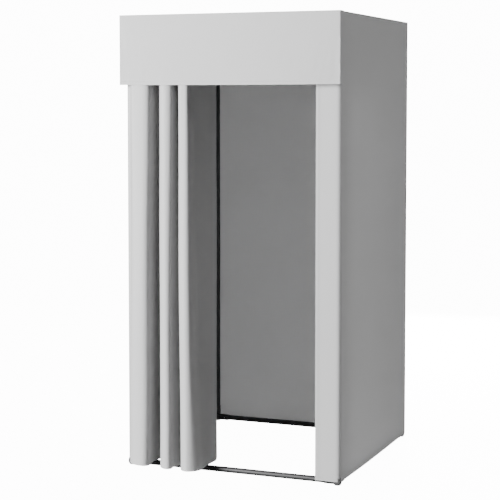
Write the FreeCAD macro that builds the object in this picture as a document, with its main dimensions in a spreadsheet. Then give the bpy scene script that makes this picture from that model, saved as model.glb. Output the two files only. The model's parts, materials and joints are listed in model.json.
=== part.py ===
import FreeCAD, Part
import os
import Sketcher

# A free-standing fitting-room booth: a frame of round steel tubes in moulded corner sockets,
# a cloth cover, a valance over the doorway and a curtain that hangs from rings on a rod.
# Millimetres. +Z is up, +X is to the right of a person facing the doorway, -Y is the front.
# The origin is on the floor, under the middle of the whole booth.

V = FreeCAD.Vector
doc = FreeCAD.newDocument("FittingBooth")

# ---------------------------------------------------------------- driving dimensions

SIZES = {
    "booth_width": 1000,        # outer face to outer face of the side walls
    "booth_height": 2000,       # floor to the top of the roof cloth
    "overall_depth": 1125,      # foremost curtain fold to the back of the cover
    "curtain_bulge": 141.5,     # how far that fold stands in front of the front posts
    "cloth": 1.0,               # thickness of the cover cloth
    "cloth_gap": 0.5,           # clearance between the cloth and the corner sockets
    "tube_diameter": 25.0,
    "tube_wall": 1.2,
    "socket_diameter": 30.0,
    "socket_reach": 58.0,       # from the corner's centre to the mouth of each arm
    "socket_clearance": 0.3,    # bore of the socket over the tube's diameter
    "tube_seat": 16.0,          # from the corner's centre to the end of each tube
    "foot_height": 2.5,
    "foot_diameter": 27.0,
    "foot_chamfer": 0.8,
    "ferrule_length": 120.0,    # sleeve inside a post, over the joint of its two halves
    "ferrule_wall": 1.5,
    "ferrule_clearance": 0.2,
    "post_joint": 1000.0,       # height of that joint
    "header_forward": 43.5,     # header tube in front of the front posts
    "header_overhang": 22.0,    # header tube beyond the corner's centre
    "collar_width": 30.0,
    "header_cap": 3.0,
    "rod_diameter": 16.0,
    "rod_drop": 48.5,           # curtain rod below the header tube
    "rod_boss": 22.0,           # moulded boss that holds each end of the rod
    "rod_web": 8.0,
    "ring_bore": 22.0,
    "ring_wire": 2.5,
    "ring_sag": 2.7,            # centre of a hanging ring below the rod's centre
    "ring_eye": 4.0,
    "valance_height": 303.7,
    "valance_overhang": 10.0,   # valance beyond each side wall
    "valance_forward": 60.0,    # outer face of the valance in front of the front posts
    "valance_slot": 1.0,        # running clearance between the roof's edge and the valance
    "valance_lap": 0.3,         # top of the valance below the underside of the roof
    "screw_gap": 0.05,          # foot of a set screw's head off the tube
    "ring_gap": 0.3,            # eye of a ring above the curtain's top edge
    "return_width": 111.0,      # narrow front panel at each side of the doorway
    "return_hem": 16.0,
    "return_top": 1967.0,
    "wall_hem": 8.0,
    "curtain_hem": 31.0,
    "curtain_knee": 1690.0,     # height at which the folds reach behind the valance
    "curtain_head": 1915.0,
    "curtain_cloth": 1.2,
    "fold_gap": 3.6,            # slit between neighbouring folds, at the rod's plane
    "screw_diameter": 4.0,
    "screw_hole": 4.2,
    "screw_length": 3.0,
    "screw_place": 42.0,        # from the corner's centre
}

sheet = doc.addObject("Spreadsheet::Sheet", "Sizes")
for row, (alias, value) in enumerate(SIZES.items(), start=1):
    sheet.set("A%d" % row, alias)
    sheet.set("B%d" % row, str(value))
    sheet.setAlias("B%d" % row, alias)
doc.recompute()

# Places that many pieces share, as expressions on the sheet.
MARGIN = "(Sizes.cloth + Sizes.cloth_gap + Sizes.socket_diameter / 2)"
POST_X = "(Sizes.booth_width / 2 - %s)" % MARGIN
FRONT_Y = "(Sizes.curtain_bulge - Sizes.overall_depth / 2)"
BACK_Y = "(Sizes.overall_depth / 2 - %s)" % MARGIN
LOW_Z = "(Sizes.foot_height + Sizes.socket_diameter / 2)"
HIGH_Z = "(Sizes.booth_height - %s)" % MARGIN
HEADER_Y = "(%s - Sizes.header_forward)" % FRONT_Y
ROD_Z = "(%s - Sizes.rod_drop)" % HIGH_Z
COVER_FRONT = "(%s - %s)" % (FRONT_Y, MARGIN)
COVER_BACK = "(Sizes.overall_depth / 2)"
ROOF_UNDER = "(Sizes.booth_height - Sizes.cloth)"
VALANCE_X = "(Sizes.booth_width / 2 + Sizes.valance_overhang)"
VALANCE_Y = "(%s - Sizes.valance_forward)" % FRONT_Y
VALANCE_TOP = "(%s - Sizes.valance_lap)" % ROOF_UNDER

# Turns that lay a piece made along Z along another axis.
ALONG = {
    "+Z": FreeCAD.Rotation(),
    "-Z": FreeCAD.Rotation(V(1, 0, 0), 180),
    "+X": FreeCAD.Rotation(V(0, 1, 0), 90),
    "-X": FreeCAD.Rotation(V(0, 1, 0), -90),
    "+Y": FreeCAD.Rotation(V(1, 0, 0), -90),
    "-Y": FreeCAD.Rotation(V(1, 0, 0), 90),
}
SIDES = {"left": "-", "right": "+"}
sub_parts = []


def size(expression):
    """The value in millimetres of an expression on the sheet."""
    return float(sheet.evalExpression(expression.replace("Sizes.", "")))


def place(piece, x, y, z, direction="+Z"):
    """Put a piece at a point given by three expressions, laid along an axis."""
    piece.Placement = FreeCAD.Placement(V(0, 0, 0), ALONG[direction])
    for axis, expression in zip("xyz", (x, y, z)):
        piece.setExpression("Placement.Base." + axis, expression)
    return piece


def keep(piece, label):
    """Name a finished sub-part and put it on the list that is exported."""
    piece.Label = label
    sub_parts.append(piece)
    return piece


def cylinder(name, diameter, length, x, y, z, direction="+Z"):
    piece = doc.addObject("Part::Cylinder", name)
    piece.setExpression("Radius", diameter + " / 2")
    piece.setExpression("Height", length)
    return place(piece, x, y, z, direction)


def box(name, low, high):
    """A box between two corners, each three expressions."""
    piece = doc.addObject("Part::Box", name)
    for prop, a, b in zip(("Length", "Width", "Height"), low, high):
        piece.setExpression(prop, "(%s) - (%s)" % (b, a))
    return place(piece, *low)


def fuse(name, pieces):
    joined = doc.addObject("Part::MultiFuse", name)
    joined.Shapes = pieces
    joined.Refine = True
    return joined


def cut(name, base, tools):
    """Take one or more tools away from a base."""
    hollow = doc.addObject("Part::Cut", name)
    hollow.Base = base
    hollow.Tool = tools[0] if len(tools) == 1 else fuse(name + "Tools", tools)
    hollow.Refine = True
    return hollow


def plane(body, role):
    """One of a body's own origin planes."""
    return [p for p in body.Origin.OriginFeatures if p.Role == role][0]


def sketch_on(body, name, role="XY_Plane"):
    sketch = body.newObject("Sketcher::SketchObject", name)
    sketch.AttachmentSupport = [(plane(body, role), "")]
    sketch.MapMode = "FlatFace"
    return sketch


def pad(body, sketch, name, length):
    feature = body.newObject("PartDesign::Pad", name)
    feature.Profile = sketch
    feature.setExpression("Length", length)
    sketch.Visibility = False
    body.Tip = feature
    return feature


def tube(label, diameter, wall, length, x, y, z, direction="+Z"):
    """A round tube (or, with no wall, a bar) that starts at a point and runs along an axis."""
    body = doc.addObject("PartDesign::Body", "Body_" + label)
    sketch = sketch_on(body, "Section_" + label)
    radii = {"outer": "%s / 2" % diameter}
    if wall:
        radii["inner"] = "%s / 2 - %s" % (diameter, wall)
    for name, radius in radii.items():
        ring = sketch.addGeometry(Part.Circle(V(0, 0, 0), V(0, 0, 1), size(radius)))
        sketch.addConstraint(Sketcher.Constraint("Coincident", ring, 3, -1, 1))
        index = sketch.addConstraint(Sketcher.Constraint("Radius", ring, size(radius)))
        sketch.renameConstraint(index, name)
        sketch.setExpression("Constraints." + name, radius)
    pad(body, sketch, "Length_" + label, length)
    place(body, x, y, z, direction)
    return keep(body, label)


def outline_pad(label, corners, thickness, z):
    """A flat panel: a closed outline of corners in X and Y, each fixed by two expressions."""
    body = doc.addObject("PartDesign::Body", "Body_" + label)
    sketch = sketch_on(body, "Outline_" + label)
    points = [V(size(x), size(y), 0) for x, y in corners]
    for start, end in zip(points, points[1:] + points[:1]):
        sketch.addGeometry(Part.LineSegment(start, end))
    count = len(corners)
    for line in range(count):
        following = (line + 1) % count
        sketch.addConstraint(Sketcher.Constraint("Coincident", line, 2, following, 1))
    for line, (x, y) in enumerate(corners):
        for kind, name, expression in (("DistanceX", "x", x), ("DistanceY", "y", y)):
            limit = Sketcher.Constraint(kind, -1, 1, line, 1, size(expression))
            index = sketch.addConstraint(limit)
            sketch.renameConstraint(index, "%s%d" % (name, line))
            sketch.setExpression("Constraints.%s%d" % (name, line), expression)
    pad(body, sketch, "Thickness_" + label, thickness)
    place(body, "0", "0", z)
    return keep(body, label)


# ---------------------------------------------------------------- corner sockets

def corner_arms(level, x_sign, is_front):
    """The three directions in which a corner's arms point."""
    across = "-X" if x_sign == "+" else "+X"
    along = "+Y" if is_front else "-Y"
    upright = "+Z" if level == "bottom" else "-Z"
    return (across, along, upright)


def step_from(x, y, z, direction, distance):
    """The point at a distance from (x, y, z) along an axis, as expressions."""
    sign, axis = direction
    place_of = {"X": x, "Y": y, "Z": z}
    place_of[axis] = "%s %s %s" % (place_of[axis], sign, distance)
    return [place_of["X"], place_of["Y"], place_of["Z"]]


def socket(level, end, side):
    """A moulded corner with three tube sockets; the upper front ones also hold header and rod."""
    label = "socket_%s_%s_%s" % (level, end, side)
    x = SIDES[side] + POST_X
    y = FRONT_Y if end == "front" else BACK_Y
    z = LOW_Z if level == "bottom" else HIGH_Z
    solids = []
    hollows = []
    for direction in corner_arms(level, SIDES[side], end == "front"):
        name = "%s_%s" % (label, direction[1])
        start = step_from(x, y, z, direction, "(-Sizes.socket_diameter / 2)")
        solids.append(cylinder("Arm_" + name, "Sizes.socket_diameter",
                               "Sizes.socket_reach + Sizes.socket_diameter / 2",
                               *start, direction))
        mouth = step_from(x, y, z, direction, "Sizes.tube_seat")
        bore = "(Sizes.tube_diameter + Sizes.socket_clearance)"
        hollows.append(cylinder("Bore_" + name, bore,
                                "Sizes.socket_reach", *mouth, direction))
        hole = step_from(x, y, z, direction, "Sizes.screw_place")
        facing = screw_direction(direction, level, end)
        hollows.append(cylinder("ScrewHole_" + name, "Sizes.screw_hole",
                                "Sizes.socket_diameter", *hole, facing))
    if level == "top" and end == "front":
        collar = "%s - Sizes.collar_width / 2" % x
        solids.append(cylinder("Forward_" + label, "Sizes.socket_diameter",
                               "Sizes.header_forward", x, y, z, "-Y"))
        solids.append(cylinder("Collar_" + label, "Sizes.socket_diameter",
                               "Sizes.collar_width", collar, HEADER_Y, z, "+X"))
        solids.append(cylinder("Boss_" + label, "Sizes.rod_boss",
                               "Sizes.collar_width", collar, HEADER_Y, ROD_Z, "+X"))
        half_web = "Sizes.rod_web / 2"
        solids.append(box("Web_" + label,
                          (collar, "%s - %s" % (HEADER_Y, half_web), ROD_Z),
                          ("%s + Sizes.collar_width" % collar,
                           "(%s + %s)" % (HEADER_Y, half_web), z)))
        bore = "(Sizes.tube_diameter + Sizes.socket_clearance)"
        beyond = "(%s - Sizes.collar_width)" % x
        hollows.append(cylinder("HeaderBore_" + label, bore,
                                "2 * Sizes.collar_width", beyond, HEADER_Y, z, "+X"))
        hollows.append(cylinder("RodBore_" + label,
                                "(Sizes.rod_diameter + Sizes.socket_clearance)",
                                "2 * Sizes.collar_width", beyond, HEADER_Y, ROD_Z, "+X"))
    return keep(cut("Socket_" + label, fuse("Solid_" + label, solids), hollows), label)


def screw_direction(arm, level, end):
    """A set screw enters each arm from the inside of the booth."""
    if arm[1] == "Y":
        return "+Z" if level == "bottom" else "-Z"
    return "+Y" if end == "front" else "-Y"


screws = []
for level in ("bottom", "top"):
    for end in ("front", "back"):
        for side in SIDES:
            socket(level, end, side)
            x = SIDES[side] + POST_X
            y = FRONT_Y if end == "front" else BACK_Y
            z = LOW_Z if level == "bottom" else HIGH_Z
            for arm in corner_arms(level, SIDES[side], end == "front"):
                facing = screw_direction(arm, level, end)
                middle = step_from(x, y, z, arm, "Sizes.screw_place")
                start = step_from(*middle, facing, "(Sizes.tube_diameter / 2 + Sizes.screw_gap)")
                screws.append(cylinder("Screw_%d" % len(screws), "Sizes.screw_diameter",
                                       "Sizes.screw_length", *start, facing))
keep(fuse("SetScrews", screws), "set_screws")

# ---------------------------------------------------------------- feet

for end, y in (("front", FRONT_Y), ("back", BACK_Y)):
    for side, sign in SIDES.items():
        label = "foot_%s_%s" % (end, side)
        disc = cylinder("Disc_" + label, "Sizes.foot_diameter", "Sizes.foot_height",
                        sign + POST_X, y, "0")
        doc.recompute()
        rim = [i for i, edge in enumerate(disc.Shape.Edges, start=1)
               if edge.BoundBox.ZMax < 0.01][0]
        foot = doc.addObject("Part::Chamfer", "Foot_" + label)
        foot.Base = disc
        chamfer = size("Sizes.foot_chamfer")
        foot.Edges = [(rim, chamfer, chamfer)]
        keep(foot, label)

# ---------------------------------------------------------------- posts and rails

for end, y in (("front", FRONT_Y), ("back", BACK_Y)):
    for side, sign in SIDES.items():
        where = "%s_%s" % (end, side)
        x = sign + POST_X
        low = "(%s + Sizes.tube_seat)" % LOW_Z
        high = "(%s - Sizes.tube_seat)" % HIGH_Z
        tube("post_lower_" + where, "Sizes.tube_diameter", "Sizes.tube_wall",
             "Sizes.post_joint - " + low, x, y, low)
        tube("post_upper_" + where, "Sizes.tube_diameter", "Sizes.tube_wall",
             high + " - Sizes.post_joint", x, y, "Sizes.post_joint")
        tube("ferrule_" + where,
             "(Sizes.tube_diameter - 2 * Sizes.tube_wall - Sizes.ferrule_clearance)",
             "Sizes.ferrule_wall", "Sizes.ferrule_length",
             x, y, "Sizes.post_joint - Sizes.ferrule_length / 2")

for level, z in (("bottom", LOW_Z), ("top", HIGH_Z)):
    for end, y in (("front", FRONT_Y), ("back", BACK_Y)):
        tube("rail_%s_%s" % (level, end), "Sizes.tube_diameter", "Sizes.tube_wall",
             "2 * (%s - Sizes.tube_seat)" % POST_X,
             "Sizes.tube_seat - " + POST_X, y, z, "+X")
    for side, sign in SIDES.items():
        tube("rail_%s_%s" % (level, side), "Sizes.tube_diameter", "Sizes.tube_wall",
             "%s - %s - 2 * Sizes.tube_seat" % (BACK_Y, FRONT_Y),
             sign + POST_X, FRONT_Y + " + Sizes.tube_seat", z, "+Y")

# ---------------------------------------------------------------- header tube and rod

header_half = "(%s + Sizes.header_overhang)" % POST_X
tube("header_tube", "Sizes.tube_diameter", "Sizes.tube_wall",
     "2 * " + header_half, "-" + header_half, HEADER_Y, HIGH_Z, "+X")
for side, sign in SIDES.items():
    outward = sign + "X"
    tip = sign + header_half
    plug_length = "4 * Sizes.header_cap"
    plug_start = "%s %s (-(%s))" % (tip, sign, plug_length)
    disc = cylinder("Cap_" + side, "Sizes.tube_diameter", "Sizes.header_cap",
                    tip, HEADER_Y, HIGH_Z, outward)
    plug = cylinder("Plug_" + side,
                    "(Sizes.tube_diameter - 2 * Sizes.tube_wall - Sizes.ferrule_clearance)",
                    plug_length, plug_start, HEADER_Y, HIGH_Z, outward)
    keep(fuse("HeaderCap_" + side, [disc, plug]), "header_cap_" + side)
rod_half = "(%s + Sizes.collar_width / 2)" % POST_X
tube("curtain_rod", "Sizes.rod_diameter", None,
     "2 * " + rod_half, "-" + rod_half, HEADER_Y, ROD_Z, "+X")

# ---------------------------------------------------------------- cover

for side, sign in SIDES.items():
    face = sign + "Sizes.booth_width / 2"
    inner = face + (" - Sizes.cloth" if sign == "+" else " + Sizes.cloth")
    near, far = (inner, face) if sign == "+" else (face, inner)
    keep(box("Wall_" + side, ("(%s)" % near, COVER_FRONT, "Sizes.wall_hem"),
             ("(%s)" % far, COVER_BACK, ROOF_UNDER)), "wall_" + side)
    edge = inner + (" - " if sign == "+" else " + ") + "Sizes.return_width"
    near, far = (edge, inner) if sign == "+" else (inner, edge)
    keep(box("Return_" + side, ("(%s)" % near, COVER_FRONT, "Sizes.return_hem"),
             ("(%s)" % far, "(%s + Sizes.cloth)" % COVER_FRONT, "Sizes.return_top")),
         "return_" + side)
    end = sign + VALANCE_X
    within = end + (" - Sizes.cloth" if sign == "+" else " + Sizes.cloth")
    near, far = (within, end) if sign == "+" else (end, within)
    keep(box("Cheek_" + side,
             ("(%s)" % near, "(%s + Sizes.cloth)" % VALANCE_Y,
              "(%s - Sizes.valance_height)" % VALANCE_TOP),
             ("(%s)" % far, "(%s - Sizes.cloth_gap)" % COVER_FRONT, VALANCE_TOP)),
         "valance_cheek_" + side)

inner_x = "(Sizes.booth_width / 2 - Sizes.cloth)"
keep(box("Wall_back", ("-" + inner_x, "(%s - Sizes.cloth)" % COVER_BACK, "Sizes.wall_hem"),
         (inner_x, COVER_BACK, ROOF_UNDER)), "wall_back")
keep(box("Valance", ("-" + VALANCE_X, VALANCE_Y,
                     "(%s - Sizes.valance_height)" % VALANCE_TOP),
         (VALANCE_X, "(%s + Sizes.cloth)" % VALANCE_Y, VALANCE_TOP)), "valance_front")

wide = VALANCE_X
narrow = "(Sizes.booth_width / 2)"
strip_front = "(%s + Sizes.cloth + Sizes.valance_slot)" % VALANCE_Y
outline_pad("roof", [("-" + wide, strip_front), (wide, strip_front),
                     (wide, COVER_FRONT), (narrow, COVER_FRONT),
                     (narrow, COVER_BACK), ("-" + narrow, COVER_BACK),
                     ("-" + narrow, COVER_FRONT), ("-" + wide, COVER_FRONT)],
            "Sizes.cloth", ROOF_UNDER)

# ---------------------------------------------------------------- curtain

# The curtain seen from above, at its hem and at its knee: x and the distance behind the rod,
# which is negative in front of it. Each fold starts and ends at a ring, under the rod.
CURTAIN_LINE = [      # (hem x, hem depth, knee x, knee depth)
    (-465, 0, -465, 0), (-450, -46, -454, -9), (-412, -79, -446, -12), (-372, -86, -395, -12),
    (-353, -70, -374, -3), (-355, -36, -372, 22), (-362, 0, -374, 52),
    (-362, 36, -375, 88), (-353, 72, -367, 112), (-336, 84, -352, 116), (-316, 66, -336, 94),
    (-306, 0, -329, 36),
    (-299, -56, -327, 6), (-274, -91, -310, -11), (-250, -98, -284, -12),
    (-238, -84, -267, -2), (-240, -48, -268, 22), (-222, 0, -272, 55),
    (-220, 36, -272, 90), (-216, 74, -266, 114), (-204, 84, -253, 116), (-192, 66, -237, 92),
    (-190, 0, -236, 36),
    (-199, -56, -236, 6), (-184, -90, -224, -10), (-161, -104, -207, -12),
    (-140, -99, -191, -10), (-128, -75, -184, 2), (-126, -40, -183, 20), (-131, 0, -183, 45),
    (-127, 46, -174, 86), (-120, 91, -158, 136), (-112, 137, -137, 190),
]
FOLDS = {             # the first and last point of each fold
    "front_1": (0, 6), "back_1": (6, 11), "front_2": (11, 17),
    "back_2": (17, 22), "front_3": (22, 29), "flap": (29, 32),
}
FRONT_HEAD = 0.12     # share of the hem's depth that a front fold keeps at the rod
BACK_HEAD = 0.6       # and a back fold
HEAD_LEAN = 0.3       # sideways shift at the rod, for each unit of depth that is lost
FOLD_STEPS = 2        # flats between two points of the line


def heading(x, depth):
    """Where a point of the hem is at the curtain's top edge."""
    slit = size("Sizes.fold_gap") / 2
    kept = min(depth * FRONT_HEAD, -slit) if depth < 0 else max(depth * BACK_HEAD, slit)
    return (x - HEAD_LEAN * (kept - depth), kept)


def smoothed(points):
    """Points at even steps along the smooth line through the given ones."""
    ends = ([tuple(2 * p - q for p, q in zip(points[0], points[1]))] + list(points)
            + [tuple(2 * p - q for p, q in zip(points[-1], points[-2]))])
    line = []
    for spans in zip(ends, ends[1:], ends[2:], ends[3:]):
        for i in range(FOLD_STEPS):
            t = i / FOLD_STEPS
            line.append(tuple(
                0.5 * (2 * b + (c - a) * t + (2 * a - 5 * b + 4 * c - d) * t ** 2
                       + (3 * b - a - 3 * c + d) * t ** 3)
                for a, b, c, d in zip(*spans)))
    return line + [points[-1]]


def trimmed(line):
    """A fold's line, each end drawn in by half the gap between two folds."""
    line = [V(x, depth, 0) for x, depth in line]
    for end, inner in ((0, 1), (-1, -2)):
        way = line[inner] - line[end]
        line[end] = line[end] + way.normalize() * (size("Sizes.fold_gap") / 2)
    return [(point.x, point.y) for point in line]


def strip(points, z):
    """The cloth's two faces at height z, as two rows of points along a line seen from above."""
    y_rod = size(HEADER_Y)
    half = size("Sizes.curtain_cloth") / 2
    line = [V(x, y_rod + depth, z) for x, depth in points]
    faces = {1: [], -1: []}
    for i, here in enumerate(line):
        along = line[min(i + 1, len(line) - 1)] - line[max(i - 1, 0)]
        along.normalize()
        for side, face in faces.items():
            face.append(here + V(-along.y, along.x, 0) * (side * half))
    return faces[1], faces[-1]


def flats(row_a, row_b):
    """Triangles between two rows of points."""
    faces = []
    for a, b, c, d in zip(row_a, row_a[1:], row_b[1:], row_b):
        for corners in ((a, b, c, a), (a, c, d, a)):
            faces.append(Part.Face(Part.makePolygon(corners)))
    return faces


def fold(name, line):
    """A fold swings forward from its knee, behind the valance, to the hem."""
    hem = trimmed([place[:2] for place in line])
    bend = trimmed([place[2:] for place in line])
    head = [heading(x, depth) for x, depth in hem]
    levels = [size("Sizes." + level) for level in ("curtain_hem", "curtain_knee", "curtain_head")]
    rows = [strip(hem, levels[0]), strip(bend, levels[1]), strip(head, levels[2])]
    faces = flats(*rows[0]) + flats(*rows[-1])
    for (left, right), (left_above, right_above) in zip(rows, rows[1:]):
        faces += flats(left, left_above) + flats(right, right_above)
        for end in (0, -1):
            faces += flats([left[end], right[end]], [left_above[end], right_above[end]])
    solid = Part.makeSolid(Part.makeShell(faces))
    if solid.Volume < 0:
        solid.reverse()
    piece = doc.addObject("Part::Feature", "Fold_" + name)
    piece.Shape = solid
    piece.Placement = FreeCAD.Placement()
    return keep(piece, "curtain_" + name)


curtain_line = smoothed(CURTAIN_LINE)
for name, (first, last) in FOLDS.items():
    fold(name, curtain_line[first * FOLD_STEPS:last * FOLD_STEPS + 1])

# ---------------------------------------------------------------- curtain rings

ring_places = [CURTAIN_LINE[first][0] for first, last in FOLDS.values()]
for number, x in enumerate(ring_places):
    torus = doc.addObject("Part::Torus", "Wire_%d" % number)
    torus.setExpression("Radius1", "(Sizes.ring_bore + Sizes.ring_wire) / 2")
    torus.setExpression("Radius2", "Sizes.ring_wire / 2")
    centre = "(%s - Sizes.ring_sag)" % ROD_Z
    place(torus, str(x), HEADER_Y, centre, "+X")
    eye_top = "(%s - Sizes.ring_bore / 2 - Sizes.ring_wire / 2)" % centre
    eye_foot = "(Sizes.curtain_head + Sizes.ring_gap)"
    eye = cylinder("Eye_%d" % number, "Sizes.ring_eye",
                   "%s - %s" % (eye_top, eye_foot), str(x), HEADER_Y, eye_foot)
    keep(fuse("Ring_%d" % number, [torus, eye]), "ring_%d" % number)

# ---------------------------------------------------------------- check and export

doc.recompute()
for item in doc.Objects:
    if {"Invalid", "Error"} & set(item.State):
        raise RuntimeError("%s did not compute: %s" % (item.Label, item.State))
os.makedirs("parts", exist_ok=True)
for piece in sub_parts:
    if piece.Shape.isNull() or not piece.Shape.isValid():
        raise RuntimeError(piece.Label + " has no valid shape")
for piece in sub_parts:
    piece.Shape.exportStep("parts/%s.step" % piece.Label)
print(len(sub_parts), "sub-parts")
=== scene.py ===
"""A fitting-room booth: the finished look of its frame, cover and curtain.

The frame of tubes, sockets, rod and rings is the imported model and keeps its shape. The cloth
of the cover and the curtain is made here, in metres, in the same frame: +Z up, the doorway
towards -Y, the origin on the floor under the middle of the booth.
"""
import json
import math

import bmesh
import bpy
from bpy.props import FloatProperty, FloatVectorProperty, PointerProperty
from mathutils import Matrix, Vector, noise


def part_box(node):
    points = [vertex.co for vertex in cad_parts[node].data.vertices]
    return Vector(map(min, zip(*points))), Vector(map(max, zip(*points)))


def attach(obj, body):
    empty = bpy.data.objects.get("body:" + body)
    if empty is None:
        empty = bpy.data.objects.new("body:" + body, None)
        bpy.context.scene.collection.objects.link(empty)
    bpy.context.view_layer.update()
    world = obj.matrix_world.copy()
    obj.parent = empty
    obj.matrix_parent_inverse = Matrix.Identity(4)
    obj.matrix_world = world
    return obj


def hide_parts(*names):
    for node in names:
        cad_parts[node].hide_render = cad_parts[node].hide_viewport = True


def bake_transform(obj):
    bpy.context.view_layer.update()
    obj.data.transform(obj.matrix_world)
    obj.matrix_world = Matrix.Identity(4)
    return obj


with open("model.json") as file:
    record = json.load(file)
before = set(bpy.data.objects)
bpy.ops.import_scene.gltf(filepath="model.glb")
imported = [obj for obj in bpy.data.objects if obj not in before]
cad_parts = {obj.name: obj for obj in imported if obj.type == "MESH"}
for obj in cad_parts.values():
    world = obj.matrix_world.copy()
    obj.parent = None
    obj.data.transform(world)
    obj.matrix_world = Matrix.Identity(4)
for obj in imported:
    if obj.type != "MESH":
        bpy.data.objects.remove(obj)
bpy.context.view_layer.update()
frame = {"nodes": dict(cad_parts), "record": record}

bl_info = {
    "name": "Fitting Booth",
    "version": (1, 0, 0),
    "blender": (4, 5, 0),
    "location": "View3D > Sidebar > Booth",
    "description": "Cloth cover, curtain and finishes of a free-standing fitting booth",
    "category": "Object",
}

MM = 0.001
THROUGH_LIGHT = 0.24    # share of the light that falls through the cloth
CURVE_STEPS = 12        # steps between two given points of a smooth line
CREASE_WIDTH = 5 * MM   # half-width of a packing crease
CREASE_EVERY = 0.36     # from one packing crease to the next
CREASE_START = (0.09, 0.14)     # how far before the cloth's first corner the creases start
SHARP = math.radians(50)        # edges sharper than this stay sharp in the shading
SETTLE_FRAMES = 18      # steps of the cloth simulation
SETTLE_REACH = 6 * MM   # the furthest that it may move a point
STITCH = 4.5 * MM       # one stitch and its gap
STITCH_WIDTH = 0.7 * MM
STITCH_INSET = 2 * MM   # from the inner edge of the hem to the stitches


# ------------------------------------------------------------------ settings

class BoothClothSettings(bpy.types.PropertyGroup):
    """Sizes and colours of the cover and the curtain."""
    colour: FloatVectorProperty(
        name="Cloth colour", description="Silver grey of the satin-faced polyester",
        default=(0.44, 0.44, 0.442), subtype="COLOR", min=0.0, max=1.0)
    thickness: FloatProperty(
        name="Thickness", description="Thickness of the cloth",
        default=0.8 * MM, unit="LENGTH")
    hem: FloatProperty(
        name="Hem", description="Depth of the doubled hem along each free edge",
        default=15 * MM, unit="LENGTH")
    creases: FloatProperty(
        name="Creases", description="How far the packing creases show", default=0.5)
    corner: FloatProperty(
        name="Corner radius", description="How softly the cover turns around a post",
        default=20 * MM, unit="LENGTH")
    hem_corner: FloatProperty(
        name="Hem corner", description="Radius of the curtain's lower leading corner",
        default=14 * MM, unit="LENGTH")
    buckle: FloatProperty(
        name="Buckle", description="Height of the slack ripples in the cover",
        default=1.6 * MM, unit="LENGTH")
    weave: FloatProperty(
        name="Weave", description="Spacing of the cloth's threads",
        default=0.6 * MM, unit="LENGTH")


class BoothFrameSettings(bpy.types.PropertyGroup):
    """Finish of the tubes and sockets."""
    paint: FloatVectorProperty(
        name="Tube paint", description="Black powder coat on the tubes",
        default=(0.018, 0.018, 0.019), subtype="COLOR", min=0.0, max=1.0)
    plastic: FloatVectorProperty(
        name="Socket plastic", description="Black nylon of the sockets and caps",
        default=(0.022, 0.022, 0.022), subtype="COLOR", min=0.0, max=1.0)


class BoothStageSettings(bpy.types.PropertyGroup):
    """Camera and light."""
    lens: FloatProperty(
        name="Lens", description="Focal length on a 36 mm wide sensor", default=104.3)
    heading: FloatProperty(
        name="Heading", description="How far the camera is turned to the left of +Y",
        default=math.radians(21.96), subtype="ANGLE")
    dip: FloatProperty(
        name="Dip", description="How far the camera looks down",
        default=math.radians(3.74), subtype="ANGLE")
    rise: FloatProperty(
        name="Lens rise", description="Vertical shift of the lens", default=-0.11)
    key: FloatProperty(
        name="Key light", description="Power of the large light at the front left",
        default=2900.0, unit="POWER")
    top: FloatProperty(
        name="Top light", description="Power of the light overhead",
        default=30.0, unit="POWER")
    back: FloatProperty(
        name="Back light", description="Power of the light behind the booth",
        default=980.0, unit="POWER")
    fill: FloatProperty(
        name="Fill light", description="Power of the light at the right",
        default=225.0, unit="POWER")
    sky: FloatProperty(
        name="Sky", description="Strength of the even light all around", default=0.14)
    paper: FloatProperty(
        name="Paper", description="Brightness of the white paper behind", default=17.0)
    floor_glow: FloatProperty(
        name="Floor glow", description="Brightness of the floor's own light", default=13.6)


SETTINGS = {
    "booth_cloth": BoothClothSettings,
    "booth_frame": BoothFrameSettings,
    "booth_stage": BoothStageSettings,
}


# ------------------------------------------------------------------ shader maths

class Socket:
    """A node socket whose arithmetic adds Math nodes to its material."""

    def __init__(self, material, socket):
        self.material = material
        self.socket = socket

    def _maths(self, operation, *values):
        node = self.material.node("ShaderNodeMath", {"operation": operation},
                                  dict(enumerate(values)))
        return Socket(self.material, node.outputs[0])

    def __add__(self, other):
        return self._maths("ADD", self, other)

    def __radd__(self, other):
        return self._maths("ADD", other, self)

    def __sub__(self, other):
        return self._maths("SUBTRACT", self, other)

    def __rsub__(self, other):
        return self._maths("SUBTRACT", other, self)

    def __mul__(self, other):
        return self._maths("MULTIPLY", self, other)

    def __truediv__(self, other):
        return self._maths("DIVIDE", self, other)

    def sine(self):
        return self._maths("SINE", self)

    def size(self):
        return self._maths("ABSOLUTE", self)

    def below(self, limit):
        return self._maths("LESS_THAN", self, limit)

    def above(self, limit):
        return self._maths("GREATER_THAN", self, limit)

    def at_most(self, limit):
        return self._maths("MINIMUM", self, limit)

    def back_and_forth(self, reach):
        return self._maths("PINGPONG", self, reach)


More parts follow.
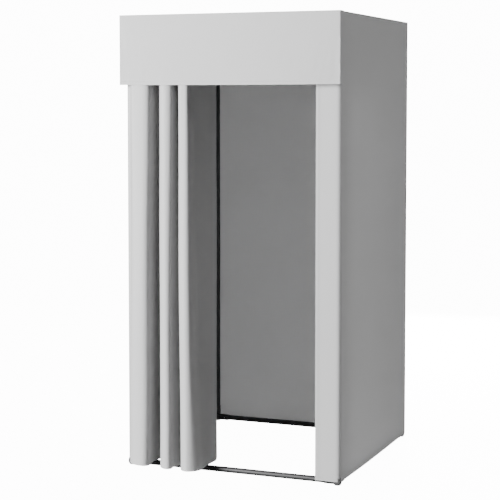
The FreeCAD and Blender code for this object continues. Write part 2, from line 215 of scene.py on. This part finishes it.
class Finish:
    """One material and the nodes that are added to it."""

    def __init__(self, name):
        self.material = bpy.data.materials.new(name)
        self.material.use_nodes = True
        self.tree = self.material.node_tree
        self.shader = self.tree.nodes["Principled BSDF"]

    def node(self, kind, settings=None, inputs=None):
        """Add a node: its settings first, then the values or links of its sockets."""
        node = self.tree.nodes.new(kind)
        for key, value in (settings or {}).items():
            setattr(node, key, value)
        for key, value in (inputs or {}).items():
            self.feed(node.inputs[key], value)
        return node

    def feed(self, socket, value):
        """Link a socket, or set its value."""
        if isinstance(value, Socket):
            self.tree.links.new(value.socket, socket)
        else:
            socket.default_value = value

    def out(self, node, key=0):
        return Socket(self, node.outputs[key])

    def place(self):
        return self.out(self.node("ShaderNodeTexCoord"), "Object")

    def noise(self, vector, scale, detail=3.0, roughness=0.5):
        node = self.node("ShaderNodeTexNoise", None,
                         {"Vector": vector, "Scale": scale, "Detail": detail,
                          "Roughness": roughness})
        return self.out(node, "Fac")

    def mix(self, factor, low, high):
        """A colour between two colours."""
        node = self.node("ShaderNodeMix", {"data_type": "RGBA"},
                         {0: factor, 6: (*low, 1.0), 7: (*high, 1.0)})
        return self.out(node, 2)

    def bump(self, height, strength, distance, normal=None):
        inputs = {"Height": height, "Strength": strength, "Distance": distance}
        if normal is not None:
            inputs["Normal"] = normal
        return self.out(self.node("ShaderNodeBump", None, inputs), "Normal")

    def set(self, **inputs):
        """Values and links of the main shader, by the names of its sockets."""
        for key, value in inputs.items():
            self.feed(self.shader.inputs[key.replace("_", " ")], value)


def scaled(colour, factor):
    return tuple(channel * factor for channel in colour)


def crease(distance):
    """A pressed line: high on the line, nothing beyond its width."""
    return 1 - (distance / CREASE_WIDTH).at_most(1.0)


def cloth_finish(name, colour, weave, hem, creases):
    """Satin-faced polyester: threads, slubs, a soft sheen, stitched hems, packing creases."""
    finish = Finish(name)
    edge_uv = finish.node("ShaderNodeUVMap", {"uv_map": "edge"})
    edge = finish.out(finish.node("ShaderNodeSeparateXYZ", None, {0: finish.out(edge_uv)}), "X")
    uv = finish.node("ShaderNodeUVMap", {"uv_map": "cloth"})
    split = finish.node("ShaderNodeSeparateXYZ", None, {0: finish.out(uv)})
    across = finish.out(split, "X")
    along = finish.out(split, "Y")
    threads = 2 * math.pi / weave
    warp = (across * threads).sine() * 0.5 + 0.5
    weft = (along * threads).sine() * 0.5 + 0.5
    twill = ((across + along) * (threads * 0.5)).sine() * 0.5 + 0.5
    stretched = finish.node("ShaderNodeMapping", None,
                            {"Vector": finish.out(uv), "Scale": (9.0, 160.0, 1.0)})
    slub = finish.noise(finish.out(stretched), 6.0)
    drift = finish.noise(finish.place(), 2.2, 4.0)
    threads_height = warp * 0.45 + weft * 0.35 + twill * 0.2
    in_hem = edge.below(hem)
    stitch_gap = ((across + along) * (2 * math.pi / STITCH)).sine().above(-0.5)
    stitch = (edge - (hem - STITCH_INSET)).size().below(STITCH_WIDTH) * stitch_gap
    pressed = (crease((across + CREASE_START[0]).back_and_forth(CREASE_EVERY / 2))
               + crease((along + CREASE_START[1]).back_and_forth(CREASE_EVERY / 2))) * creases
    shade = threads_height * 0.06 + slub * 0.16 + drift * 0.22 + in_hem * 0.07 - stitch * 0.3
    base = finish.mix(shade * 1.9, scaled(colour, 0.93), scaled(colour, 1.06))
    weave_normal = finish.bump(threads_height, 0.12, 0.0004)
    rolling = finish.bump(drift * 0.7 + slub * 0.3 + pressed * 0.5, 0.06, 0.002, weave_normal)
    normal = finish.bump(in_hem * 0.6 - stitch * 0.5, 0.5, 0.0008, rolling)
    finish.set(Base_Color=base, Roughness=0.46 + slub * 0.14 - drift * 0.06, Normal=normal)
    finish.set(Sheen_Weight=0.25, Sheen_Roughness=0.45, Specular_IOR_Level=0.35)
    glow = finish.node("ShaderNodeBsdfTranslucent", None, {"Color": base, "Normal": normal})
    both = finish.node("ShaderNodeMixShader", None,
                       {0: THROUGH_LIGHT, 1: finish.out(finish.shader), 2: finish.out(glow)})
    finish.feed(finish.tree.nodes["Material Output"].inputs["Surface"], finish.out(both))
    return finish.material


def paint_finish(name, colour):
    """Powder coat: near-black, satin, with a fine orange peel."""
    finish = Finish(name)
    place = finish.place()
    peel = finish.noise(place, 900.0, 2.0)
    rub = finish.noise(place, 14.0, 6.0, 0.65)
    finish.set(Base_Color=finish.mix(rub, scaled(colour, 0.75), scaled(colour, 1.5)),
               Roughness=0.42 + rub * 0.2, Normal=finish.bump(peel, 0.12, 0.0002))
    finish.set(Specular_IOR_Level=0.4, Coat_Weight=0.08, Coat_Roughness=0.4)
    return finish.material


def plastic_finish(name, colour, roughness=0.5):
    """Moulded plastic with a fine eroded grain."""
    finish = Finish(name)
    place = finish.place()
    grain = finish.noise(place, 1400.0, 3.0)
    haze = finish.noise(place, 25.0, 4.0)
    finish.set(Base_Color=finish.mix(haze, scaled(colour, 0.8), scaled(colour, 1.35)),
               Roughness=roughness - 0.05 + haze * 0.12,
               Normal=finish.bump(grain, 0.22, 0.0002))
    return finish.material


def metal_finish(name, colour, roughness):
    """Bare or plated metal with fine drawing marks and dull patches."""
    finish = Finish(name)
    place = finish.place()
    marks = finish.noise(place, 700.0, 2.0)
    dull = finish.noise(place, 30.0, 5.0)
    finish.set(Base_Color=finish.mix(dull, scaled(colour, 0.85), colour),
               Roughness=roughness + dull * 0.12, Normal=finish.bump(marks, 0.06, 0.0001))
    finish.set(Metallic=1.0)
    return finish.material


# ------------------------------------------------------------------ mesh helpers

def settings(group):
    return getattr(bpy.context.scene, group)


def smooth(t):
    t = max(0.0, min(1.0, t))
    return t * t * (3.0 - 2.0 * t)


def wander(x, y, z):
    """Smooth noise from -1 to 1."""
    return noise.noise(Vector((x, y, z)))


def active(obj):
    bpy.ops.object.select_all(action="DESELECT")
    obj.select_set(True)
    bpy.context.view_layer.objects.active = obj


def settle(obj, pinned, hold):
    """Let a cloth hang under its own weight, and keep the result on its mesh.

    The pinned points stay, the others are drawn to their places by the share hold, and no
    point ends further than SETTLE_REACH from where it started.
    """
    starts = [vertex.co.copy() for vertex in obj.data.vertices]
    held = obj.vertex_groups.new(name="held")
    held.add(range(len(starts)), hold, "REPLACE")
    held.add(pinned, 1.0, "REPLACE")
    hang = obj.modifiers.new("Hang", "CLOTH")
    hang.settings.quality = 5
    hang.settings.mass = 0.02
    hang.settings.tension_stiffness = 25.0
    hang.settings.compression_stiffness = 8.0
    hang.settings.shear_stiffness = 5.0
    hang.settings.bending_stiffness = 0.3
    hang.settings.vertex_group_mass = held.name
    hang.point_cache.frame_start = 1
    hang.point_cache.frame_end = SETTLE_FRAMES
    for number in range(1, SETTLE_FRAMES + 1):
        bpy.context.scene.frame_set(number)
    active(obj)
    bpy.ops.object.modifier_apply(modifier=hang.name)
    bpy.context.scene.frame_set(1)
    moves = [vertex.co - start for vertex, start in zip(obj.data.vertices, starts)]
    for vertex, start, move in zip(obj.data.vertices, starts, moves):
        if move.length > SETTLE_REACH:
            vertex.co = start + move * (SETTLE_REACH / move.length)
    obj.vertex_groups.remove(obj.vertex_groups["held"])


def finish_mesh(obj, look):
    """Give a cloth surface its thickness, double at the hems, and leave plain mesh."""
    hems = obj.vertex_groups.new(name="hem")
    layer = obj.data.uv_layers["edge"]
    near = {loop.vertex_index for loop in obj.data.loops
            if layer.data[loop.index].uv.x < look.hem}
    hems.add(list(near), 1.0, "REPLACE")
    active(obj)
    solid = obj.modifiers.new("Thickness", "SOLIDIFY")
    solid.thickness = look.thickness * 2
    solid.vertex_group = hems.name
    solid.thickness_vertex_group = 0.5
    solid.offset = 0.0
    bpy.ops.object.modifier_apply(modifier=solid.name)
    bpy.ops.object.shade_smooth_by_angle(angle=SHARP)


def grid_cloth(name, columns, rows, point, flat_point, material, free="lrbt"):
    """A cloth surface from point(u, v), with its threads laid out by flat_point(u, v).

    The free edges, left, right, bottom and top, are the hemmed ones.
    """
    mesh = bpy.data.meshes.new(name)
    built = bmesh.new()
    lattice = [[built.verts.new(point(c / columns, r / rows)) for c in range(columns + 1)]
               for r in range(rows + 1)]
    layer = built.loops.layers.uv.new("cloth")
    edge_layer = built.loops.layers.uv.new("edge")
    flats = [[flat_point(c / columns, r / rows) for c in range(columns + 1)]
             for r in range(rows + 1)]
    width, height = flats[-1][-1]

    def edge(across, along):
        gaps = {"l": across, "r": width - across, "b": along, "t": height - along}
        return min(gaps[side] for side in free)

    for r in range(rows):
        for c in range(columns):
            corners = ((r, c), (r, c + 1), (r + 1, c + 1), (r + 1, c))
            face = built.faces.new([lattice[i][j] for i, j in corners])
            for loop, (i, j) in zip(face.loops, corners):
                loop[layer].uv = flats[i][j]
                loop[edge_layer].uv = (edge(*flats[i][j]), 0.0)
    built.to_mesh(mesh)
    built.free()
    obj = bpy.data.objects.new(name, mesh)
    bpy.context.scene.collection.objects.link(obj)
    mesh.materials.append(material)
    return obj


def path_lookup(points):
    """Place and direction along a line of points, by distance from its start."""
    steps = [0.0]
    for a, b in zip(points, points[1:]):
        steps.append(steps[-1] + (Vector(b) - Vector(a)).magnitude)

    def at(distance):
        distance = max(0.0, min(steps[-1], distance))
        i = 0
        while i < len(steps) - 2 and steps[i + 1] < distance:
            i += 1
        share = (distance - steps[i]) / max(1e-9, steps[i + 1] - steps[i])
        a, b = Vector(points[i]), Vector(points[i + 1])
        return a.lerp(b, share)
    return at, steps[-1]


def rounded(points, radius, steps=6):
    """A line whose inner corners are turned into arcs of a radius."""
    line = [Vector(points[0])]
    for before, corner, after in zip(points, points[1:], points[2:]):
        before, corner, after = Vector(before), Vector(corner), Vector(after)
        into, away = (corner - before).normalized(), (after - corner).normalized()
        turn = into.angle(away)
        reach = radius * math.tan(turn / 2)
        start, end = corner - into * reach, corner + away * reach
        for i in range(steps + 1):
            t = i / steps
            line.append((1 - t) ** 2 * start + 2 * t * (1 - t) * corner + t * t * end)
    line.append(Vector(points[-1]))
    return line


# ------------------------------------------------------------------ the booth's places

WALL_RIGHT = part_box("wall_right")
WALL_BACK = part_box("wall_back")
RETURN_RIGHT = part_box("return_right")
RETURN_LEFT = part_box("return_left")
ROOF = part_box("roof")
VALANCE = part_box("valance_front")
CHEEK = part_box("valance_cheek_right")
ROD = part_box("curtain_rod")
CURTAIN_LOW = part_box("curtain_flap")[0][2]
CURTAIN_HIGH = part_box("curtain_flap")[1][2]

OUT_X = WALL_RIGHT[1][0]
FRONT_Y = WALL_RIGHT[0][1]
BACK_Y = WALL_RIGHT[1][1]
ROD_Y = (ROD[0][1] + ROD[1][1]) / 2


def slack(distance, height, seed, reach):
    """How far a taut panel stands off its plane: nothing at its held edges."""
    held = math.sin(math.pi * max(0.0, min(1.0, distance))) ** 0.7
    slow = wander(distance * 2.1 + seed, height * 1.7, seed * 3.1)
    pull = wander(distance * 6.5 + height * 2.4, height * 1.1, seed * 1.7) * 0.35
    return reach * held * (slow + pull)


class BoothOperator:
    """What all the booth's operators share."""
    bl_options = {"REGISTER", "UNDO"}


class BOOTH_OT_finishes(BoothOperator, bpy.types.Operator):
    """Give the tubes, sockets, rings and screws their finishes"""
    bl_idname = "booth.finishes"
    bl_label = "Frame finishes"

    def execute(self, context):
        look = settings("booth_frame")
        finishes = {
            "black_tube": paint_finish("Black powder coat", tuple(look.paint)),
            "corner_plastic": plastic_finish("Black nylon", tuple(look.plastic)),
            "rubber_feet": plastic_finish("Foot rubber", (0.02, 0.02, 0.02), 0.8),
            "ring_steel": metal_finish("Polished ring steel", (0.72, 0.72, 0.73), 0.12),
            "ferrule_steel": metal_finish("Plated ferrule", (0.55, 0.55, 0.57), 0.35),
            "screw_steel": metal_finish("Plated screw", (0.5, 0.5, 0.52), 0.3),
        }
        slots = {part["node"]: part["material_slot"] for part in frame["record"]["subparts"]}
        for name, obj in frame["nodes"].items():
            finish = finishes.get(slots[name])
            if finish:
                for place in obj.material_slots:
                    place.material = finish
        return {"FINISHED"}


RETURN_COLUMNS = 0.16   # share of a side cover's columns on its flat front return
CORNER_COLUMNS = 0.28   # and up to the end of the rounded corner
CORNER_REACH = 0.011    # half of the corner's length, as a share of the cover's width
HEM_TURN = 50 * MM      # length over which the return's hem rises to the wall's
SIDE_LIFT = 7 * MM      # hem of a side cover above the lowest edge of its wall
SIDE_BELLY = 5 * MM     # how far the middle of that hem hangs down
BACK_LIFT = 6 * MM
BACK_BELLY = 4 * MM
INSET = 0.5 * MM        # middle of the cloth behind its outer face
PULLED_IN = 0.4         # share of the ripples' height by which the cloth is set back


class BOOTH_OT_side_covers(BoothOperator, bpy.types.Operator):
    """Hang the left and right covers, each a wall and a narrow front return in one cloth"""
    bl_idname = "booth.side_covers"
    bl_label = "Side covers"

    def execute(self, context):
        look = settings("booth_cloth")
        cloth = bpy.data.materials["Cover cloth"]
        for side, sign in (("left", -1), ("right", 1)):
            box = RETURN_RIGHT if sign > 0 else RETURN_LEFT
            door_edge = box[0][0] if sign > 0 else box[1][0]
            front, back = FRONT_Y + INSET, BACK_Y - INSET
            face = sign * (OUT_X - INSET)
            line = rounded([(door_edge, front, 0), (face, front, 0), (face, back, 0)],
                           look.corner, 8)
            at, length = path_lookup(line)
            turn = abs(face - door_edge)
            return_hem, wall_hem = box[0][2], WALL_RIGHT[0][2]
            return_top, wall_top = box[1][2], WALL_RIGHT[1][2]

            def spread(u):
                """Columns crowd together at the rounded corner."""
                before, after = turn / length - CORNER_REACH, turn / length + CORNER_REACH
                if u < RETURN_COLUMNS:
                    return before * u / RETURN_COLUMNS
                if u < CORNER_COLUMNS:
                    share = (u - RETURN_COLUMNS) / (CORNER_COLUMNS - RETURN_COLUMNS)
                    return before + (after - before) * share
                return after + (1 - after) * (u - CORNER_COLUMNS) / (1 - CORNER_COLUMNS)

            def point(u, v):
                distance = spread(u) * length
                spot = at(distance)
                past = (distance - turn) / (length - turn)
                on_wall = smooth((distance - turn) / HEM_TURN + 0.5)
                belly = math.sin(math.pi * max(0.0, past)) * SIDE_BELLY
                hem = return_hem + (wall_hem + SIDE_LIFT - return_hem) * on_wall - belly
                top = return_top + (wall_top - return_top) * on_wall
                z = hem + (top - hem) * v
                if past > 0:
                    off = slack(past, z, 3.0 + sign, look.buckle)
                    spot.x += sign * (off - PULLED_IN * look.buckle)
                else:
                    off = slack(1 + past * 5, z, 8.0 + sign, look.buckle * 0.5)
                    spot.y -= off * 0.5
                spot.z = z
                return spot

            def flat_point(u, v):
                return (spread(u) * length, (wall_top - wall_hem) * v)

            piece = grid_cloth("cover_side_" + side, 110, 120, point, flat_point, cloth, "lrb")
            if sign > 0:
                piece.data.flip_normals()
            finish_mesh(piece, look)
            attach(piece, "frame")
            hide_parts("wall_" + side, "return_" + side)
            wall_top - wall_hem
        return {"FINISHED"}


class BOOTH_OT_back_cover(BoothOperator, bpy.types.Operator):
    """Hang the back cover between the two side covers"""
    bl_idname = "booth.back_cover"
    bl_label = "Back cover"

    def execute(self, context):
        look = settings("booth_cloth")
        low, high = WALL_BACK

        def point(u, v):
            x = low[0] + (high[0] - low[0]) * u
            hem = low[2] + BACK_LIFT - math.sin(math.pi * u) * BACK_BELLY
            z = hem + (high[2] - hem) * v
            off = slack(u, z, 21.0, look.buckle) - PULLED_IN * look.buckle
            y = (low[1] + high[1]) / 2 + off
            return Vector((x, y, z))

        def flat_point(u, v):
            return ((high[0] - low[0]) * u, (high[2] - low[2]) * v)

        piece = grid_cloth("cover_back", 90, 110, point, flat_point,
                           bpy.data.materials["Cover cloth"], "b")
        finish_mesh(piece, look)
        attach(piece, "frame")
        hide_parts("wall_back")
        return {"FINISHED"}


ROOF_SAG = 9 * MM       # how far the middle of the roof hangs down


class BOOTH_OT_roof(BoothOperator, bpy.types.Operator):
    """Lay the roof over the top rails"""
    bl_idname = "booth.roof"
    bl_label = "Roof"

    def execute(self, context):
        look = settings("booth_cloth")
        low, high = ROOF

        def point(u, v):
            y = low[1] + (high[1] - low[1]) * v
            half = high[0] if y < FRONT_Y else OUT_X
            x = -half + 2 * half * u
            sag = math.sin(math.pi * u) * math.sin(math.pi * v)
            z = (low[2] + high[2]) / 2 - ROOF_SAG * sag ** 1.2
            z += slack(u, y, 33.0, look.buckle) * sag
            return Vector((x, y, z))

        def flat_point(u, v):
            return ((high[0] - low[0]) * u, (high[1] - low[1]) * v)

        piece = grid_cloth("cover_roof", 90, 90, point, flat_point,
                           bpy.data.materials["Cover cloth"])
        finish_mesh(piece, look)
        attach(piece, "frame")
        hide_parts("roof")
        return {"FINISHED"}


CHEEK_COLUMNS = 0.1     # share of the valance's columns on each cheek and its corner
CHEEK_CORNER = 2.5 * MM
PAST_CHEEK = 4 * MM     # those columns reach this far past the corner
VALANCE_LIFT = 1.5 * MM     # its hem above the CAD valance's lower edge
VALANCE_DROOP = 1.6 * MM    # how far the middle of that hem hangs down
VALANCE_SLACK = 1.1     # its ripples, as a share of the cover's
VALANCE_HOLD = 0.02     # how firmly its loose part is held while it settles


class BOOTH_OT_valance(BoothOperator, bpy.types.Operator):
    """Hang the valance and its two short cheeks from the header"""
    bl_idname = "booth.valance"
    bl_label = "Valance"

    def execute(self, context):
        look = settings("booth_cloth")
        low, high = VALANCE
        front = low[1] + INSET
        side = high[0] - INSET
        back = CHEEK[1][1]
        line = rounded([(-side, back, 0), (-side, front, 0), (side, front, 0), (side, back, 0)],
                       CHEEK_CORNER)
        at, length = path_lookup(line)
        cheek = back - front

        def spread(u):
            """Columns crowd together on the cheeks."""
            edge = (cheek + PAST_CHEEK) / length
            if u < CHEEK_COLUMNS:
                return edge * u / CHEEK_COLUMNS
            if u > 1 - CHEEK_COLUMNS:
                return 1 - edge * (1 - u) / CHEEK_COLUMNS
            return edge + (1 - 2 * edge) * (u - CHEEK_COLUMNS) / (1 - 2 * CHEEK_COLUMNS)

        def point(u, v):
            distance = spread(u) * length
            spot = at(distance)
            past = (distance - cheek) / (length - 2 * cheek)
            droop = math.sin(math.pi * max(0.0, min(1.0, past))) * VALANCE_DROOP
            hem = low[2] + VALANCE_LIFT
            z = hem - droop * (1 - v) + (high[2] - hem) * v
            if 0 < past < 1:
                free = math.sin(math.pi * past) ** 0.5 * (1 - v) ** 0.8
                wave = wander(past * 4.3, v * 1.1, 5.2) + 0.5 * wander(past * 9.0, v, 1.4)
                spot.y -= look.buckle * VALANCE_SLACK * free * wave
            spot.z = z
            return spot

        def flat_point(u, v):
            return (spread(u) * length, (high[2] - low[2]) * v)

        piece = grid_cloth("valance_cloth", 150, 50, point, flat_point,
                           bpy.data.materials["Cover cloth"], "lrb")
        top = high[2] - MM
        settle(piece, [vertex.index for vertex in piece.data.vertices
                       if vertex.co.z > top or vertex.co.y > back - MM], VALANCE_HOLD)
        finish_mesh(piece, look)
        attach(piece, "valance")
        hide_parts("valance_front", "valance_cheek_left", "valance_cheek_right")
        return {"FINISHED"}


# The curtain seen from above at its hem and at its knee: x and the distance behind the rod.
CURTAIN_LINE = [    # (hem x, hem depth, knee x, knee depth)
    (-0.465, 0.000, -0.465, 0.000), (-0.450, -0.046, -0.454, -0.009),
    (-0.412, -0.079, -0.446, -0.012), (-0.372, -0.086, -0.395, -0.012),
    (-0.353, -0.070, -0.374, -0.003), (-0.355, -0.036, -0.372, 0.022),
    (-0.362, 0.000, -0.374, 0.052), (-0.362, 0.036, -0.375, 0.088),
    (-0.353, 0.072, -0.367, 0.112), (-0.336, 0.084, -0.352, 0.116),
    (-0.316, 0.066, -0.336, 0.094), (-0.306, 0.000, -0.329, 0.036),
    (-0.299, -0.056, -0.327, 0.006), (-0.274, -0.091, -0.310, -0.011),
    (-0.250, -0.098, -0.284, -0.012), (-0.238, -0.084, -0.267, -0.002),
    (-0.240, -0.048, -0.268, 0.022), (-0.222, 0.000, -0.272, 0.055),
    (-0.220, 0.036, -0.272, 0.090), (-0.216, 0.074, -0.266, 0.114),
    (-0.204, 0.084, -0.253, 0.116), (-0.192, 0.066, -0.237, 0.092),
    (-0.190, 0.000, -0.236, 0.036), (-0.199, -0.056, -0.236, 0.006),
    (-0.184, -0.090, -0.224, -0.010), (-0.161, -0.104, -0.207, -0.012),
    (-0.140, -0.099, -0.191, -0.010), (-0.128, -0.075, -0.184, 0.002),
    (-0.126, -0.040, -0.183, 0.020), (-0.131, 0.000, -0.183, 0.045),
    (-0.127, 0.046, -0.174, 0.086), (-0.120, 0.091, -0.158, 0.136),
    (-0.112, 0.137, -0.137, 0.190),
]
LEAD_SWELL = {      # how far the leading panel swells at its hem, by point of the line
    27: (0.006, -0.008), 28: (0.016, -0.018), 29: (0.022, -0.020), 30: (0.012, -0.012),
    31: (0.006, -0.004),
}
SWELL_TOP = 0.60            # height at which the swelling starts
FREE_BELOW = 1.2            # height below which the curtain's ripples have their full size
FREE_OVER = 0.45            # length above it over which they fade away
CURTAIN_RIPPLE = 4 * MM
CURTAIN_HOLD = 0.25         # how firmly the curtain's folds are held while it settles
KNEE = 1.690                # height at which the folds reach behind the valance
FRONT_HEAD = 0.12           # share of the hem's depth that a front fold keeps at the rod
BACK_HEAD = 0.6             # and a back fold
HEAD_LEAN = 0.3             # sideways shift at the rod, for each unit of depth that is lost


def heading(x, depth):
    """Where a point of the hem is at the curtain's top edge."""
    kept = depth * (FRONT_HEAD if depth < 0 else BACK_HEAD)
    return Vector((x - HEAD_LEAN * (kept - depth), kept))


def curved(points, count):
    """Evenly spaced places on a smooth line through points of any number of values."""
    points = [Vector(values) for values in points]
    ends = [2 * points[0] - points[1]] + points + [2 * points[-1] - points[-2]]
    line = []
    for a, b, c, d in zip(ends, ends[1:], ends[2:], ends[3:]):
        for i in range(CURVE_STEPS):
            t = i / CURVE_STEPS
            line.append(0.5 * (2 * b + (c - a) * t + (2 * a - 5 * b + 4 * c - d) * t * t
                               + (3 * b - a - 3 * c + d) * t ** 3))
    line.append(points[-1])
    at, length = path_lookup(line)
    return [at(length * i / count) for i in range(count + 1)]


class BOOTH_OT_curtain(BoothOperator, bpy.types.Operator):
    """Hang the curtain in folds from its rings"""
    bl_idname = "booth.curtain"
    bl_label = "Curtain"

    def execute(self, context):
        look = settings("booth_cloth")
        columns, rows = 320, 150
        places = curved([(*values, *LEAD_SWELL.get(i, (0.0, 0.0)))
                         for i, values in enumerate(CURTAIN_LINE)], columns)
        hems = [Vector(place[:2]) for place in places]
        knees = [Vector(place[2:4]) for place in places]
        swells = [Vector(place[4:]) for place in places]
        run = [0.0]
        for before, after in zip(hems, hems[1:]):
            run.append(run[-1] + (after - before).length)
        length = run[-1]
        low, high = CURTAIN_LOW, CURTAIN_HIGH

        def point(u, v):
            column = round(u * columns)
            hem, bend = hems[column], knees[column]
            to_lead = length - run[column]
            lift = look.hem_corner - math.sqrt(max(
                0.0, look.hem_corner ** 2 - max(0.0, look.hem_corner - to_lead) ** 2))
            z = low + lift + (high - low - lift) * v
            if z < KNEE:
                plan = hem.lerp(bend, (z - low) / (KNEE - low))
            else:
                plan = bend.lerp(heading(hem.x, hem.y), smooth((z - KNEE) / (high - KNEE)))
            free = 1 - smooth((z - FREE_BELOW) / FREE_OVER)
            away = wander(run[column] * 6.0, z * 1.5, 2.0) * CURTAIN_RIPPLE * free
            plan += swells[column] * smooth((SWELL_TOP - z) / (SWELL_TOP - low))
            return Vector((plan.x + away * 0.6, ROD_Y + plan.y + away, z))

        def flat_point(u, v):
            return (run[round(u * columns)], (high - low) * v)

        piece = grid_cloth("curtain_cloth", columns, rows, point, flat_point,
                           bpy.data.materials["Curtain cloth"], "rbt")
        settle(piece, [vertex.index for vertex in piece.data.vertices
                       if vertex.co.z > high - MM or vertex.index % (columns + 1) == 0],
               CURTAIN_HOLD)
        finish_mesh(piece, look)
        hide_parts("curtain_front_1", "curtain_back_1", "curtain_front_2",
                    "curtain_back_2", "curtain_front_3", "curtain_flap")
        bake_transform(piece)
        return {"FINISHED"}


LIGHTS = {              # side of the lamp, its place and the point that it faces
    "Key": (3.4, (-4.9, -6.4, 2.5), (0.2, 0, 1.3)),
    "Back": (1.6, (-0.35, 4.6, 1.2), (0, 0, 1.0)),
    "Top": (3.0, (0.0, 0.0, 5.2), (0, 0, 0)),
    "Fill": (3.0, (6.0, 1.2, 1.0), (0.5, 0, 0.9)),
}
CAMERA_PLACE = (2.4033, -6.1750, 1.6293)
FLOOR_SIDE = 60.0


class BOOTH_OT_stage(BoothOperator, bpy.types.Operator):
    """Set the floor, the lights and the camera"""
    bl_idname = "booth.stage"
    bl_label = "Stage"

    def execute(self, context):
        look = settings("booth_stage")
        bpy.ops.object.select_all(action="DESELECT")
        bpy.ops.mesh.primitive_plane_add(size=FLOOR_SIDE, location=(0, 0, 0))
        floor = context.active_object
        floor.name = "floor"
        pale = Finish("Pale floor")
        drift = pale.noise(pale.place(), 0.6)
        pale.set(Base_Color=pale.mix(drift, (0.06, 0.06, 0.06), (0.07, 0.07, 0.07)))
        pale.set(Roughness=0.8, Emission_Color=(1.0, 1.0, 1.0, 1.0),
                 Emission_Strength=look.floor_glow)
        floor.data.materials.append(pale.material)
        floor.visible_diffuse = False
        floor.visible_glossy = False

        for name, (size, place, aim) in LIGHTS.items():
            self.light(name, getattr(look, name.lower()), size, place, aim)

        world = bpy.data.worlds.new("Soft studio")
        world.use_nodes = True
        nodes, links = world.node_tree.nodes, world.node_tree.links
        sky = nodes["Background"]
        sky.inputs["Color"].default_value = (1, 1, 1, 1)
        sky.inputs["Strength"].default_value = look.sky
        paper = nodes.new("ShaderNodeBackground")
        paper.inputs["Strength"].default_value = look.paper
        seen = nodes.new("ShaderNodeLightPath")
        both = nodes.new("ShaderNodeMixShader")
        links.new(seen.outputs["Is Camera Ray"], both.inputs[0])
        links.new(sky.outputs[0], both.inputs[1])
        links.new(paper.outputs[0], both.inputs[2])
        links.new(both.outputs[0], nodes["World Output"].inputs["Surface"])
        context.scene.world = world

        camera = bpy.data.cameras.new("View")
        camera.sensor_width = 36.0
        camera.lens = look.lens
        camera.shift_y = look.rise
        stand = bpy.data.objects.new("View", camera)
        stand.location = CAMERA_PLACE
        stand.rotation_euler = (math.pi / 2 - look.dip, 0, look.heading)
        context.scene.collection.objects.link(stand)
        context.scene.camera = stand
        return {"FINISHED"}

    def light(self, name, power, size, place, aim):
        lamp = bpy.data.lights.new(name, "AREA")
        lamp.energy = power
        lamp.size = size
        holder = bpy.data.objects.new(name, lamp)
        holder.location = place
        way = Vector(aim) - Vector(place)
        holder.rotation_euler = way.to_track_quat("-Z", "Y").to_euler()
        bpy.context.scene.collection.objects.link(holder)


class BOOTH_PT_panel(bpy.types.Panel):
    """The booth's pieces and sizes"""
    bl_idname = "BOOTH_PT_panel"
    bl_label = "Fitting booth"
    bl_space_type = "VIEW_3D"
    bl_region_type = "UI"
    bl_category = "Booth"

    def draw(self, context):
        for group in SETTINGS:
            values = getattr(context.scene, group)
            column = self.layout.column(align=True)
            for name in values.bl_rna.properties.keys():
                if name not in ("rna_type", "name"):
                    column.prop(values, name)
        for operator in OPERATORS:
            self.layout.operator(operator.bl_idname)


OPERATORS = (BOOTH_OT_finishes, BOOTH_OT_side_covers, BOOTH_OT_back_cover, BOOTH_OT_roof,
             BOOTH_OT_valance, BOOTH_OT_curtain, BOOTH_OT_stage)


def register():
    for item in (*SETTINGS.values(), *OPERATORS, BOOTH_PT_panel):
        bpy.utils.register_class(item)
    for name, group in SETTINGS.items():
        setattr(bpy.types.Scene, name, PointerProperty(type=group))


def unregister():
    for name in SETTINGS:
        delattr(bpy.types.Scene, name)
    for item in (BOOTH_PT_panel, *reversed(OPERATORS), *SETTINGS.values()):
        bpy.utils.unregister_class(item)


def main():
    register()
    look = settings("booth_cloth")
    cloth_finish("Cover cloth", tuple(look.colour), look.weave, look.hem, look.creases)
    cloth_finish("Curtain cloth", tuple(look.colour), look.weave, look.hem, 0.0)
    for operator in OPERATORS:
        family, name = operator.bl_idname.split(".")
        getattr(getattr(bpy.ops, family), name)()


if __name__ == "__main__":
    main()
